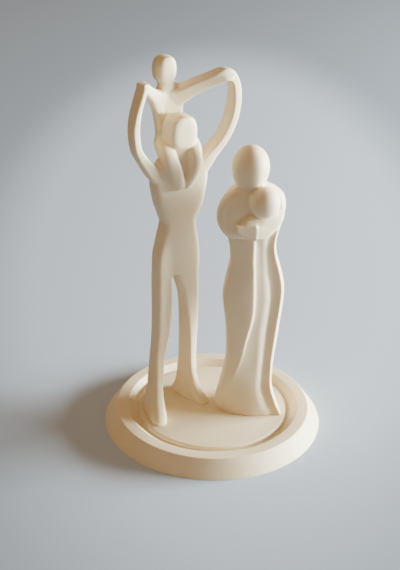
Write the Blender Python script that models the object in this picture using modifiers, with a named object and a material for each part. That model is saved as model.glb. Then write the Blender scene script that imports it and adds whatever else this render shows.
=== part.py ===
"""Family group sculpture: a father with a child on his shoulders and a mother with a baby, on a round plinth.

Metres, +Z up. The origin is the centre of the plinth's underside, and the viewer stands at -Y.
Each figure is carved in its own frame: x runs across it, y runs back through it, z runs up from its sole.
"""

import math

import bmesh
import bpy
from mathutils import Matrix, Vector

# Plinth, in metres
PLINTH_DIAMETER = 0.110
PLINTH_HEIGHT = 0.0084
RIM_OUTER_DIAMETER = 0.0978
RIM_INNER_DIAMETER = 0.0864
RIM_EDGE_RADIUS = 0.0008
GROOVE_DEPTH = 0.0030
GROOVE_WALL_RUN = 0.0034
GROOVE_FLOOR_WIDTH = 0.0017
DISC_HEIGHT = 0.0070
DISC_EDGE_RADIUS = 0.0024
PLINTH_STEPS = 48

# Figures, in metres: heights run from the sole to the crown
STAND_GAP = 0.0003
FATHER_HEIGHT = 0.1815
FATHER_FROM_AXIS = -0.0185
FATHER_BEHIND_AXIS = 0.0006
FATHER_HEADING = math.radians(33)
MOTHER_HEIGHT = 0.1436
MOTHER_FROM_AXIS = 0.0195
MOTHER_BEHIND_AXIS = -0.0030
MOTHER_HEADING = math.radians(18)

# Carving is written as shares of a figure's height: one unit is 1/UNITS_TALL of it
FATHER_UNITS_TALL = 181.5
MOTHER_UNITS_TALL = 143.6

# Facets
LIMB_SIDES = 12
TORSO_SIDES = 16
FOOT_SIDES = 14
RINGS_BETWEEN = 1
SLAB_RINGS = 8
SLAB_SIDES = 18
EGG_MERIDIANS = 18
EGG_BANDS = 10
SLAB_EDGE_ANGLE = math.radians(80)
SHARP_ANGLE = math.radians(35)

# Heads, as shares of their own half width: how softly the face ridge turns,
# and how far a crown falls to its sides
RIDGE_SOFTNESS = 0.12
CROWN_FALL = 0.05

IVORY = (0.80, 0.76, 0.66, 1.0)

FRONT = Vector((0, -1, 0))
DOWN = Vector((0, 0, -1))
SIDEWAYS = Vector((1, 0, 0))


def clear_scene():
    for item in list(bpy.data.objects):
        bpy.data.objects.remove(item)


def make_collection(name):
    made = bpy.data.collections.new(name)
    bpy.context.scene.collection.children.link(made)
    return made


def make_material(name):
    material = bpy.data.materials.new(name)
    material.use_nodes = True
    shader = material.node_tree.nodes["Principled BSDF"]
    shader.inputs["Base Color"].default_value = IVORY
    shader.inputs["Roughness"].default_value = 0.5
    return material


def mesh_object(name, cage, collection, material):
    """Turns a finished bmesh into an object with its faces pointing out."""
    bmesh.ops.recalc_face_normals(cage, faces=cage.faces)
    mesh = bpy.data.meshes.new(name)
    cage.to_mesh(mesh)
    cage.free()
    mesh.materials.append(material)
    mesh.shade_smooth()
    mesh.set_sharp_from_angle(angle=SHARP_ANGLE)
    made = bpy.data.objects.new(name, mesh)
    collection.objects.link(made)
    return made


def smooth_between(before, start, end, after, share):
    """Catmull-Rom value between start and end."""
    rise_in = (end - before) / 2
    rise_out = (after - start) / 2
    turn = 3 * (end - start) - 2 * rise_in - rise_out
    close = 2 * (start - end) + rise_in + rise_out
    return start + share * (rise_in + share * (turn + share * close))


def refine(stations, between):
    """Adds smooth stations between the given ones, each a tuple of numbers."""
    refined = []
    last = len(stations) - 1
    for index in range(last):
        around = [
            stations[max(index - 1, 0)],
            stations[index],
            stations[index + 1],
            stations[min(index + 2, last)],
        ]
        for step in range(between + 1):
            share = step / (between + 1)
            refined.append(tuple(smooth_between(*values, share) for values in zip(*around)))
    refined.append(tuple(stations[-1]))
    return refined


def superellipse(half_across, half_deep, squareness, sides):
    """Points around a rounded rectangle: squareness 2 is an ellipse, and a larger one is boxier."""
    points = []
    for index in range(sides):
        angle = 2 * math.pi * (index + 0.5) / sides
        cosine = math.cos(angle)
        sine = math.sin(angle)
        across = math.copysign(abs(cosine) ** (2 / squareness), cosine)
        deep = math.copysign(abs(sine) ** (2 / squareness), sine)
        points.append((half_across * across, half_deep * deep))
    return points


def limb(stations, deep_axis, unit, squareness=4.5, between=RINGS_BETWEEN, sides=LIMB_SIDES, square_to=None):
    """Lofts one closed limb through stations of (x, y, z, half_across, half_deep, turn in degrees).

    Its rings stand square to its path, or all of them to one direction.
    """
    cage = bmesh.new()
    rings = []
    path = refine(stations, between)
    for index, (x, y, z, half_across, half_deep, turn) in enumerate(path):
        here = path[max(index - 1, 0)]
        there = path[min(index + 1, len(path) - 1)]
        along = square_to or (Vector(there[:3]) - Vector(here[:3])).normalized()
        across = along.cross(Matrix.Rotation(math.radians(turn), 3, "Z") @ deep_axis).normalized()
        deep = across.cross(along).normalized()
        ring = []
        for right, back in superellipse(half_across, half_deep, squareness, sides):
            point = Vector((x, y, z)) + across * right + deep * back
            ring.append(cage.verts.new(point * unit))
        rings.append(ring)
    close_rings(cage, rings)
    return cage


def close_rings(cage, rings):
    """Skins a list of equal rings and caps both ends."""
    count = len(rings[0])
    for low, high in zip(rings, rings[1:]):
        for index in range(count):
            after = (index + 1) % count
            cage.faces.new((low[index], low[after], high[after], high[index]))
    cage.faces.new(tuple(reversed(rings[0])))
    cage.faces.new(rings[-1])


def egg(centre, half_across, half_deep, rise, drop, unit, ridge=0.0, taper=0.0, ridge_place=0.0):
    """A blank round head: ridge lifts a soft line down its face, and taper narrows it toward the chin."""
    cage = bmesh.new()
    made = bmesh.ops.create_uvsphere(cage, u_segments=EGG_MERIDIANS, v_segments=EGG_BANDS, radius=1.0)
    for vertex in made["verts"]:
        x, y, z = vertex.co
        half_high = rise if z > 0 else drop
        narrow = 1 - taper * max(0.0, -z) ** 2
        away = math.hypot(x - ridge_place, RIDGE_SOFTNESS)
        front = 1 + ridge * max(0.0, 1 - 2 * away) if y < 0 else 1
        vertex.co = Vector((
            centre[0] + x * half_across * narrow,
            centre[1] + y * half_deep * front * narrow,
            centre[2] + z * half_high,
        )) * unit
    return cage


def egg_slab(centre, half_across, half_deep, rise, drop, unit, flat_top, squareness, fullness=2.5):
    """A blank head cut from a slab: an upright oval with a nearly flat crown and rounded edges."""
    cage = bmesh.new()
    rings = []
    for step in range(SLAB_RINGS):
        angle = SLAB_EDGE_ANGLE * (2 * step / (SLAB_RINGS - 1) - 1)
        size = math.cos(angle) ** (2 / squareness)
        deep = math.copysign(abs(math.sin(angle)) ** (2 / squareness), angle)
        ring = []
        for across, high in superellipse(size, size, fullness, SLAB_SIDES):
            height = high * (rise if high > 0 else drop)
            crown = flat_top - CROWN_FALL * (across * half_across) ** 2
            ring.append(cage.verts.new(Vector((
                centre[0] + across * half_across,
                centre[1] + deep * half_deep,
                centre[2] + min(height, crown),
            )) * unit))
        rings.append(ring)
    close_rings(cage, rings)
    return cage


def join_shapes(name, shapes, from_axis, behind_axis, heading, parts, helpers, material):
    """Unites overlapping shapes into one body, set down at its place and turned to its heading."""
    made = [mesh_object(name, shapes[0], parts, material)]
    for number, shape in enumerate(shapes[1:], 1):
        helper = mesh_object(f"{name}_shape_{number}", shape, helpers, material)
        helper.hide_render = True
        helper.display_type = "WIRE"
        made.append(helper)
        union = made[0].modifiers.new(f"union_{number}", "BOOLEAN")
        union.operation = "UNION"
        union.solver = "EXACT"
        union.object = helper
    for item in made:
        item.location = (from_axis, behind_axis, DISC_HEIGHT + STAND_GAP)
        item.rotation_euler = (0, 0, heading)


def plinth_profile():
    """Half-section of the plinth, from the top of its axis out and down to the underside."""
    disc_radius = RIM_INNER_DIAMETER / 2 - GROOVE_WALL_RUN - GROOVE_FLOOR_WIDTH - DISC_EDGE_RADIUS
    groove_floor = PLINTH_HEIGHT - GROOVE_DEPTH
    points = [(0.0, DISC_HEIGHT)]
    for step in range(5):
        angle = math.radians(90 - 22.5 * step)
        points.append((
            disc_radius + DISC_EDGE_RADIUS * math.cos(angle),
            DISC_HEIGHT - DISC_EDGE_RADIUS * (1 - math.sin(angle)),
        ))
    groove_inner = disc_radius + DISC_EDGE_RADIUS
    points.append((groove_inner, groove_floor))
    points.append((groove_inner + GROOVE_FLOOR_WIDTH, groove_floor))
    for step in range(1, 4):
        share = step / 4
        points.append((
            groove_inner + GROOVE_FLOOR_WIDTH + GROOVE_WALL_RUN * share,
            groove_floor + GROOVE_DEPTH * share**1.6,
        ))
    points.append((RIM_INNER_DIAMETER / 2, PLINTH_HEIGHT))
    points.append((RIM_OUTER_DIAMETER / 2 - RIM_EDGE_RADIUS, PLINTH_HEIGHT))
    points.append((RIM_OUTER_DIAMETER / 2 - RIM_EDGE_RADIUS * 0.35, PLINTH_HEIGHT - RIM_EDGE_RADIUS * 0.2))
    points.append((RIM_OUTER_DIAMETER / 2, PLINTH_HEIGHT - RIM_EDGE_RADIUS * 0.8))
    points.append((PLINTH_DIAMETER / 2, 0.0))
    points.append((0.0, 0.0))
    return points


def make_plinth(parts, material):
    cage = bmesh.new()
    profile = plinth_profile()
    corners = [cage.verts.new((radius, 0, height)) for radius, height in profile]
    for upper, lower in zip(corners, corners[1:]):
        cage.edges.new((upper, lower))
    mesh = bpy.data.meshes.new("plinth")
    cage.to_mesh(mesh)
    cage.free()
    mesh.materials.append(material)
    plinth = bpy.data.objects.new("plinth", mesh)
    parts.objects.link(plinth)
    screw = plinth.modifiers.new("turn", "SCREW")
    screw.steps = PLINTH_STEPS
    screw.render_steps = PLINTH_STEPS
    screw.use_merge_vertices = True
    screw.merge_threshold = 0.00001
    return plinth


# Stations of the father and the child, in father's units,
# each (x, y, z, half_across, half_deep, turn in degrees)
HIPS = [
    (-0.8, 0.2, 76.5, 11.1, 4.3, 0),
    (-0.9, 0.2, 79.0, 11.5, 4.5, 0),
    (-0.9, 0.2, 85.5, 11.4, 4.6, 0),
    (-0.7, 0.2, 90.5, 10.7, 4.6, 0),
    (-0.5, 0.3, 95.5, 9.6, 4.6, 0),
    (-0.2, 0.4, 100.0, 8.6, 4.6, 0),
    (-0.1, 0.5, 104.2, 8.1, 4.5, 0),
]
CHEST = [
    (-0.1, 0.5, 103.6, 8.1, 4.5, 0),
    (0.0, 0.4, 107.5, 9.8, 4.5, 0),
    (0.3, 0.4, 112.0, 11.7, 4.6, 0),
    (0.4, 0.4, 118.0, 13.1, 4.7, 0),
    (0.4, 0.4, 124.0, 14.0, 4.6, 0),
    (0.5, 0.5, 129.5, 13.6, 4.4, 0),
    (0.6, 0.6, 134.5, 10.5, 4.0, 0),
    (0.5, 0.8, 139.0, 6.5, 3.4, 0),
]
LEFT_LEG = [
    (-7.7, 0.6, 84.0, 4.3, 4.5, 0),
    (-8.2, 0.8, 74.0, 4.0, 4.6, 0),
    (-8.0, 1.1, 60.0, 4.0, 4.5, 0),
    (-7.9, 1.9, 47.0, 3.8, 4.3, 0),
    (-8.7, 2.6, 37.0, 3.2, 4.1, 0),
    (-9.4, 3.4, 28.5, 2.7, 4.0, 2),
    (-9.9, 3.6, 20.0, 2.4, 4.4, 4),
    (-10.6, 3.0, 14.0, 2.5, 5.0, 0),
]
RIGHT_LEG = [
    (3.9, 0.0, 84.0, 6.3, 3.6, 0),
    (4.1, 0.0, 76.7, 6.2, 3.8, 0),
    (5.2, 0.2, 70.0, 5.2, 3.8, 0),
    (6.4, 0.5, 62.0, 4.3, 3.7, 3),
    (7.4, 1.4, 49.0, 3.7, 3.9, 14),
    (8.0, 2.6, 37.0, 3.3, 3.9, 24),
    (8.5, 3.8, 24.0, 3.0, 4.0, 27),
    (8.6, 4.2, 16.0, 2.9, 4.6, 27),
]
LEFT_FOOT = [
    (-10.2, 3.4, 18.0, 2.4, 4.5, 3),
    (-11.0, 2.6, 13.0, 2.7, 5.4, -2),
    (-12.2, 0.9, 9.0, 3.2, 7.4, -8),
    (-13.1, -0.8, 6.0, 3.6, 9.6, -11),
    (-13.9, -2.0, 3.0, 4.1, 11.6, -12),
    (-14.3, -2.4, 1.0, 4.4, 12.3, -12),
    (-14.4, -2.5, 0.0, 4.4, 12.4, -12),
]
RIGHT_FOOT = [
    (8.6, 4.2, 18.0, 2.9, 4.4, 27),
    (8.9, 4.7, 13.0, 3.0, 5.2, 26),
    (9.4, 4.9, 9.0, 3.1, 6.2, 22),
    (9.7, 4.7, 6.0, 3.2, 7.6, 18),
    (9.9, 4.0, 3.0, 3.3, 10.0, 15),
    (10.0, 3.1, 1.0, 3.4, 11.8, 14),
    (10.0, 3.0, 0.0, 3.4, 12.0, 14),
]
LEFT_ARM = [
    (-8.0, 0.0, 126.0, 4.2, 3.6, 0),
    (-13.2, 0.0, 130.0, 3.6, 3.6, 0),
    (-17.9, 0.0, 135.7, 2.5, 3.4, 0),
    (-20.4, -0.2, 139.3, 2.2, 3.3, 0),
    (-22.5, -0.4, 143.2, 1.9, 3.0, 4),
    (-23.5, -0.6, 148.4, 1.9, 2.9, 6),
    (-23.8, -0.8, 154.0, 1.9, 2.9, 6),
    (-23.2, -1.0, 159.5, 1.7, 3.0, 8),
    (-22.0, -1.2, 164.5, 1.5, 3.0, 10),
    (-20.4, -1.4, 169.6, 1.5, 3.0, 12),
    (-19.5, -1.5, 172.6, 1.7, 3.0, 12),
    (-19.4, -1.5, 174.3, 1.8, 2.9, 12),
]
RIGHT_ARM = [
    (7.5, 0.0, 124.5, 4.4, 3.6, 0),
    (13.0, 0.0, 130.0, 3.6, 3.7, 0),
    (17.0, 0.0, 134.2, 2.7, 3.8, 0),
    (20.4, -0.1, 137.6, 2.4, 3.9, 0),
    (23.7, -0.2, 141.4, 2.3, 3.9, 0),
    (26.4, -0.4, 146.0, 2.3, 3.8, 0),
    (28.2, -0.6, 151.0, 2.35, 3.7, 4),
    (29.3, -0.8, 157.0, 2.35, 3.5, 6),
    (29.4, -1.0, 163.0, 2.35, 3.1, 8),
    (28.4, -1.0, 168.0, 2.3, 2.7, 8),
    (26.2, -0.8, 171.4, 2.4, 2.2, 8),
    (23.4, -0.6, 172.4, 2.4, 2.0, 4),
]
NECK = [
    (0.6, 0.4, 134.0, 4.2, 3.4, 0),
    (0.5, -0.4, 143.0, 3.6, 3.2, 0),
]
THROAT = [
    (0.4, 0.4, 141.0, 4.6, 3.8, 0),
    (0.4, 0.0, 134.0, 5.6, 4.4, 0),
    (0.4, 0.0, 126.0, 5.0, 4.6, 0),
    (0.4, 0.4, 118.0, 4.0, 3.8, 0),
]
CHILD_BODY = [
    (1.2, 8.0, 134.0, 6.4, 3.6, 0),
    (1.2, 9.6, 141.0, 7.0, 3.6, 0),
    (1.2, 10.6, 148.0, 6.8, 3.4, 0),
    (1.3, 11.0, 154.0, 6.6, 3.1, 0),
    (1.1, 11.0, 160.0, 7.2, 3.0, 0),
    (0.4, 11.0, 164.4, 6.4, 3.0, 0),
    (-0.6, 11.0, 167.0, 4.0, 2.8, 0),
]
CHILD_NECK = [
    (-0.4, 11.0, 163.0, 5.4, 3.0, 0),
    (-0.7, 11.0, 166.4, 4.0, 2.9, 0),
    (-0.9, 11.0, 169.0, 3.4, 2.8, 0),
    (-1.0, 11.0, 173.0, 3.5, 2.9, 0),
]
CHILD_LEFT_ARM = [
    (0.0, 11.0, 159.0, 5.2, 2.8, 0),
    (-4.6, 10.0, 160.8, 4.4, 2.8, 0),
    (-9.0, 7.0, 164.2, 3.2, 2.7, 0),
    (-13.8, 3.0, 168.2, 2.4, 2.6, 0),
    (-18.4, -0.8, 172.2, 2.1, 2.5, 0),
]
CHILD_RIGHT_ARM = [
    (1.0, 11.0, 159.6, 5.4, 2.8, 10),
    (5.6, 9.4, 161.9, 4.7, 2.8, 10),
    (10.8, 6.0, 165.5, 3.7, 2.7, 12),
    (16.6, 2.2, 168.9, 3.3, 2.6, 12),
    (21.6, -1.3, 171.7, 3.1, 2.6, 10),
    (25.0, -2.2, 171.6, 2.9, 2.4, 6),
    (26.8, -2.2, 170.4, 2.3, 2.3, 0),
]
CHILD_LEFT_WEB = [
    (-2.6, 10.0, 140.0, 2.4, 2.8, 0),
    (-3.4, 10.6, 147.0, 2.3, 2.8, 0),
    (-4.2, 10.6, 152.5, 2.4, 2.8, 0),
    (-5.6, 10.0, 157.0, 2.4, 2.7, 0),
    (-8.0, 8.8, 161.0, 2.2, 2.6, 0),
    (-10.6, 6.8, 163.6, 1.8, 2.4, 0),
]
CHILD_LEFT_LEG = [
    (-2.4, 9.6, 141.6, 3.8, 4.0, 0),
    (-5.4, 5.0, 141.8, 3.8, 4.2, 0),
    (-7.2, 0.0, 140.4, 3.9, 4.1, 0),
    (-7.0, -3.6, 136.4, 3.8, 4.0, 0),
    (-5.0, -4.6, 130.8, 3.5, 3.7, 0),
    (-2.6, -4.2, 125.6, 3.0, 3.2, 0),
    (-0.6, -3.6, 122.2, 2.2, 2.4, 0),
]
CHILD_RIGHT_LEG = [
    (4.4, 9.6, 141.6, 3.8, 3.8, 0),
    (6.2, 5.0, 141.8, 3.8, 4.0, 0),
    (6.8, 0.0, 140.6, 3.8, 3.9, 0),
    (6.4, -3.6, 136.4, 3.7, 3.6, 0),
    (5.2, -4.6, 130.8, 3.4, 3.3, 0),
    (3.2, -4.2, 125.6, 3.0, 3.0, 0),
    (1.2, -3.6, 122.2, 2.2, 2.4, 0),
]


def father_shapes(unit):
    """The father's torso, legs, feet, arms, neck and blank head."""
    return [
        limb(HIPS, FRONT, unit, squareness=8, sides=TORSO_SIDES),
        limb(CHEST, FRONT, unit, squareness=8, sides=TORSO_SIDES),
        limb(LEFT_LEG, FRONT, unit, squareness=6),
        limb(RIGHT_LEG, FRONT, unit, squareness=8),
        limb(LEFT_FOOT, FRONT, unit, squareness=3, sides=FOOT_SIDES, between=0, square_to=DOWN),
        limb(RIGHT_FOOT, FRONT, unit, squareness=4, sides=FOOT_SIDES, between=0, square_to=DOWN),
        limb(LEFT_ARM, FRONT, unit, squareness=6),
        limb(RIGHT_ARM, FRONT, unit, squareness=6),
        limb(NECK, FRONT, unit, between=0),
        limb(THROAT, FRONT, unit, squareness=2.6, between=0),
        egg_slab((0.6, 0.1, 147.6), 7.3, 5.8, 8.9, 8.0, unit, flat_top=8.2, squareness=4.6),
    ]


def child_shapes(unit):
    """The child's torso, neck, arms, legs and blank head."""
    return [
        limb(CHILD_BODY, FRONT, unit, squareness=4.5),
        limb(CHILD_NECK, FRONT, unit, squareness=3, between=0),
        limb(CHILD_LEFT_ARM, FRONT, unit, squareness=4),
        limb(CHILD_RIGHT_ARM, FRONT, unit, squareness=6),
        limb(CHILD_LEFT_WEB, FRONT, unit, squareness=4, between=0),
        limb(CHILD_LEFT_LEG, SIDEWAYS, unit, squareness=2.4),
        limb(CHILD_RIGHT_LEG, SIDEWAYS, unit, squareness=2.4),
        egg_slab((-1.2, 11.2, 174.6), 5.2, 4.5, 6.5, 6.8, unit, flat_top=6.0, squareness=3.4),
    ]


# The gown's long lines, each as (height, across, forward) from the hem up
GOWN_LINES = {
    "left": [
        (0.0, -15.6, -4.3), (5.0, -17.6, -4.0), (8.0, -17.1, -3.7), (14.0, -15.4, -3.0), (20.0, -14.2, -2.4),
        (27.0, -13.3, -1.4), (37.0, -13.1, -0.3), (48.0, -13.7, 0.0), (57.0, -14.6, 0.0), (67.0, -15.7, 0.0),
        (74.0, -15.1, 0.0), (80.5, -13.7, 0.0), (86.0, -12.9, 0.0), (93.5, -13.6, 0.0), (98.0, -14.6, 0.0),
        (104.0, -15.8, 0.0), (111.0, -16.8, 0.0), (117.0, -16.8, 0.0), (121.0, -15.4, 0.0),
        (123.5, -12.0, 0.0), (126.0, -8.5, 0.0),
    ],
    "ridge": [
        (0.0, -15.0, -3.2), (5.0, -14.6, -2.4), (11.0, -13.0, -0.8), (21.0, -10.7, 2.0), (32.0, -7.4, 3.6),
        (41.0, -5.8, 4.6), (48.5, -4.2, 5.2), (55.0, -2.9, 5.7), (64.0, -2.5, 6.0), (75.0, -2.8, 6.0),
        (88.0, -3.3, 5.7), (95.0, -3.5, 6.0), (97.0, -3.6, 6.0), (99.0, -3.8, 4.6), (103.0, -3.8, 4.2),
        (108.0, -3.8, 4.8), (117.0, -3.8, 5.8), (123.5, -4.0, 5.0), (126.0, -4.0, 4.6),
    ],
    "step": [
        (0.0, -13.6, -1.8), (5.0, -13.4, -1.4), (11.0, -12.0, -0.2), (21.0, -9.8, 2.2), (32.0, -6.6, 3.4),
        (41.0, -4.9, 3.9), (48.5, -3.1, 4.1), (55.0, -1.7, 4.5), (64.0, -1.3, 4.8), (75.0, -1.6, 4.8),
        (88.0, -2.1, 4.5), (95.0, -2.2, 4.8), (98.0, -2.3, 5.4), (101.0, -2.3, 6.4), (105.0, -2.2, 7.2),
        (111.0, -2.3, 6.4), (117.0, -2.4, 5.9), (123.5, -2.8, 5.0), (126.0, -3.0, 4.6),
    ],
    "crest": [
        (0.0, 3.0, 7.6), (5.0, 2.0, 6.8), (14.0, 0.6, 5.1), (22.0, 0.6, 4.8), (31.0, 0.8, 4.6),
        (40.0, 0.8, 4.6), (48.0, 1.0, 4.7), (57.0, 1.9, 4.9), (66.0, 2.7, 5.1), (73.0, 2.2, 5.0),
        (80.0, 1.3, 4.6), (92.0, 0.2, 4.5), (98.0, 0.0, 5.6),
        (103.0, 0.2, 7.4), (108.0, 0.6, 7.8), (112.0, 1.0, 6.6),
        (117.0, 0.6, 5.7), (123.5, -1.4, 4.8), (126.0, -2.4, 4.4),
    ],
    "valley": [
        (0.0, 8.6, 8.2), (5.0, 6.2, 6.4), (14.0, 3.9, 4.3), (22.0, 3.7, 3.9), (31.0, 4.1, 3.7),
        (40.0, 4.8, 3.5), (48.0, 5.5, 3.4), (57.0, 6.3, 3.6), (66.0, 6.6, 3.8), (73.0, 5.8, 3.8),
        (80.0, 4.3, 3.9), (92.0, 3.3, 4.2), (98.0, 3.9, 4.8),
        (102.0, 4.8, 5.6), (106.0, 6.2, 6.0), (111.0, 6.4, 5.2),
        (117.0, 4.6, 5.0), (123.5, 0.6, 4.4), (126.0, -1.4, 4.2),
    ],
    "second_ridge": [
        (0.0, 12.9, 9.9), (5.0, 10.7, 8.2), (14.0, 8.2, 6.4), (20.0, 7.8, 5.7), (29.0, 8.0, 5.3),
        (39.0, 8.9, 5.2), (50.0, 10.0, 5.3), (61.0, 11.1, 5.5), (68.5, 11.6, 5.6), (75.0, 10.9, 5.5),
        (82.0, 9.3, 5.4), (89.0, 7.4, 5.4), (94.0, 6.8, 5.5),
        (98.5, 7.2, 5.8), (102.0, 7.8, 6.0), (106.0, 8.6, 5.6),
        (111.0, 9.8, 4.4), (117.0, 9.4, 4.2), (123.5, 4.0, 3.6), (126.0, 0.4, 3.2),
    ],
    "right": [
        (0.0, 13.3, 8.6), (5.0, 12.0, 6.0), (12.0, 10.1, 4.4), (17.0, 9.6, 3.0), (24.0, 10.1, 2.0),
        (31.0, 10.9, 1.0), (39.0, 12.1, 0.4), (47.0, 13.1, 0.0), (55.5, 14.0, 0.0), (63.0, 14.6, 0.0),
        (70.5, 14.5, 0.0), (76.0, 13.4, 0.0), (82.5, 11.6, 0.0), (87.0, 10.1, 0.0), (91.5, 9.2, 0.0),
        (95.5, 9.2, 0.0), (99.5, 10.0, 0.0), (104.0, 11.5, 0.0), (108.0, 12.8, 0.0), (113.0, 13.6, 0.0),
        (118.4, 12.3, 0.0), (121.0, 9.9, 0.0), (123.5, 6.2, 0.0), (126.0, 1.6, 0.0),
    ],
    "back_right": [
        (0.0, 11.4, -10.4), (14.0, 9.4, -8.8), (31.0, 9.4, -7.4), (48.0, 11.0, -7.6), (66.0, 12.2, -8.6),
        (80.0, 10.0, -8.0), (92.0, 8.0, -7.2), (104.0, 9.6, -8.0), (114.0, 10.4, -8.0), (121.0, 7.0, -6.8),
        (126.0, 0.0, -5.0),
    ],
    "back": [
        (0.0, 0.0, -18.4), (14.0, -1.6, -15.8), (31.0, -1.4, -12.8), (48.0, -0.6, -13.0), (66.0, -0.6, -14.2),
        (80.0, -1.4, -13.0), (92.0, -2.0, -11.8), (104.0, -2.6, -12.8),
        (114.0, -3.2, -12.6), (121.0, -3.8, -10.4),
        (126.0, -4.2, -7.4),
    ],
    "back_left": [
        (0.0, -11.6, -14.4), (14.0, -11.8, -12.2), (31.0, -10.4, -9.2),
        (48.0, -10.8, -8.8), (66.0, -12.4, -9.6),
        (80.0, -10.8, -8.6), (92.0, -9.4, -7.6), (104.0, -12.2, -8.2), (114.0, -13.8, -8.0),
        (121.0, -12.8, -6.6), (126.0, -8.2, -4.8),
    ],
}
# Each stretch between two lines: points on it, then its swell at the hem and higher up,
# as shares of its length
GOWN_STRETCHES = [
    ("left", "ridge", 4, 0.04, 0.05),
    ("ridge", "step", 1, 0.0, 0.0),
    ("step", "crest", 3, 0.10, -0.02),
    ("crest", "valley", 2, 0.04, 0.10),
    ("valley", "second_ridge", 2, 0.0, -0.06),
    ("second_ridge", "right", 2, 0.0, 0.10),
    ("right", "back_right", 2, 0.06, 0.14),
    ("back_right", "back", 3, 0.06, 0.06),
    ("back", "back_left", 3, 0.06, 0.06),
    ("back_left", "left", 3, 0.14, 0.10),
]
HEM_FLARE_HEIGHT = 30.0
GOWN_TOP = 126.0
GOWN_LEVELS = 26


def line_at(line, height):
    """Across and forward of a long line at one height."""
    last = len(line) - 1
    index = 0
    while index < last - 1 and line[index + 1][0] < height:
        index += 1
    start = line[index]
    end = line[index + 1]
    share = (height - start[0]) / (end[0] - start[0])
    before = line[max(index - 1, 0)]
    after = line[min(index + 2, last)]
    return (
        smooth_between(before[1], start[1], end[1], after[1], share),
        smooth_between(before[2], start[2], end[2], after[2], share),
    )


def gown_section(height):
    """Closed outline of the gown at one height, as (across, forward)."""
    outline = []
    above_hem = min(1.0, height / HEM_FLARE_HEIGHT)
    for first, second, count, hem_swell, body_swell in GOWN_STRETCHES:
        swell = hem_swell + (body_swell - hem_swell) * above_hem
        start = line_at(GOWN_LINES[first], height)
        end = line_at(GOWN_LINES[second], height)
        run_across = end[0] - start[0]
        run_forward = end[1] - start[1]
        for step in range(count):
            share = step / count
            bow = 4 * share * (1 - share) * swell
            outline.append((
                start[0] + share * run_across - bow * run_forward,
                start[1] + share * run_forward + bow * run_across,
            ))
    return outline


def gown_shape(unit):
    """Stacks the gown's sections from the hem up."""
    cage = bmesh.new()
    rings = []
    for level in range(GOWN_LEVELS + 1):
        height = GOWN_TOP * level / GOWN_LEVELS
        ring = []
        for across, forward in gown_section(height):
            ring.append(cage.verts.new(Vector((across, -forward, height)) * unit))
        rings.append(ring)
    close_rings(cage, rings)
    return cage


# Stations of the mother's arms and lap, in her own units
MOTHER_LEFT_ARM = [
    (-8.5, 0.6, 119.5, 4.0, 4.0, 0),
    (-12.8, 0.6, 118.0, 4.2, 3.6, 0),
    (-15.9, 0.4, 113.0, 4.1, 3.2, 0),
    (-16.2, 0.0, 107.2, 3.8, 3.2, 0),
    (-14.0, -1.2, 102.8, 3.3, 3.1, 0),
    (-10.2, -2.4, 101.6, 2.7, 2.7, 0),
    (-5.0, -2.8, 101.0, 2.4, 2.4, 0),
]
MOTHER_RIGHT_ARM = [
    (4.0, 0.6, 119.0, 3.4, 3.6, 0),
    (7.7, -0.2, 115.8, 3.1, 3.6, 0),
    (8.4, -1.8, 111.6, 3.2, 3.6, 0),
    (6.4, -4.2, 108.4, 4.2, 3.2, 0),
    (2.4, -5.6, 105.2, 4.7, 3.0, 0),
    (-1.2, -6.5, 103.6, 4.4, 2.9, 0),
    (-4.8, -7.2, 103.8, 3.7, 2.7, 0),
]
MOTHER_HAND = [
    (-3.8, -7.05, 103.9, 3.7, 3.0, 0),
    (-8.5, -6.2, 104.3, 3.3, 2.65, 0),
    (-11.1, -5.8, 104.8, 2.7, 2.4, 0),
    (-12.6, -5.8, 105.7, 1.8, 2.1, 0),
    (-13.4, -5.9, 106.6, 0.9, 1.7, 0),
]
LAP_FILL = [
    (-10.5, -4.4, 106.2, 2.6, 2.8, 0),
    (-8.0, -4.4, 106.2, 4.2, 3.6, 0),
    (-3.0, -4.5, 107.0, 4.7, 4.0, 0),
    (2.0, -4.4, 109.2, 4.0, 3.8, 0),
    (6.0, -3.6, 111.0, 3.7, 3.4, 0),
]


def mother_shapes(unit):
    """The mother's gown, arms, lap, chest and blank head, and the baby's blank head."""
    return [
        gown_shape(unit),
        limb(MOTHER_LEFT_ARM, FRONT, unit, squareness=2.6),
        limb(MOTHER_RIGHT_ARM, FRONT, unit, squareness=3.4),
        limb(MOTHER_HAND, FRONT, unit, squareness=8, between=0, square_to=-SIDEWAYS),
        limb(LAP_FILL, FRONT, unit, squareness=2.4, between=0),
        egg((-10.4, -1.2, 108.5), 7.0, 3.7, 13.0, 9.5, unit),
        egg((-4.5, 0.6, 133.2), 8.9, 8.4, 10.4, 13.4, unit, ridge=0.07, taper=0.12, ridge_place=0.16),
        egg((0.1, -7.4, 118.0), 7.4, 7.4, 7.8, 7.5, unit),
    ]


def make_father_and_child(parts, helpers, material):
    unit = FATHER_HEIGHT / FATHER_UNITS_TALL
    shapes = father_shapes(unit) + child_shapes(unit)
    join_shapes(
        "father_and_child", shapes, FATHER_FROM_AXIS, FATHER_BEHIND_AXIS, FATHER_HEADING,
        parts, helpers, material,
    )


def make_mother_and_baby(parts, helpers, material):
    unit = MOTHER_HEIGHT / MOTHER_UNITS_TALL
    join_shapes(
        "mother_and_baby", mother_shapes(unit), MOTHER_FROM_AXIS, MOTHER_BEHIND_AXIS, MOTHER_HEADING,
        parts, helpers,
        material
    )


def main():
    clear_scene()
    parts = make_collection("family_group_sculpture")
    helpers = make_collection("shapes_to_join")
    make_plinth(parts, make_material("plinth_ivory"))
    make_father_and_child(parts, helpers, make_material("father_ivory"))
    make_mother_and_baby(parts, helpers, make_material("mother_ivory"))


main()
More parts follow.
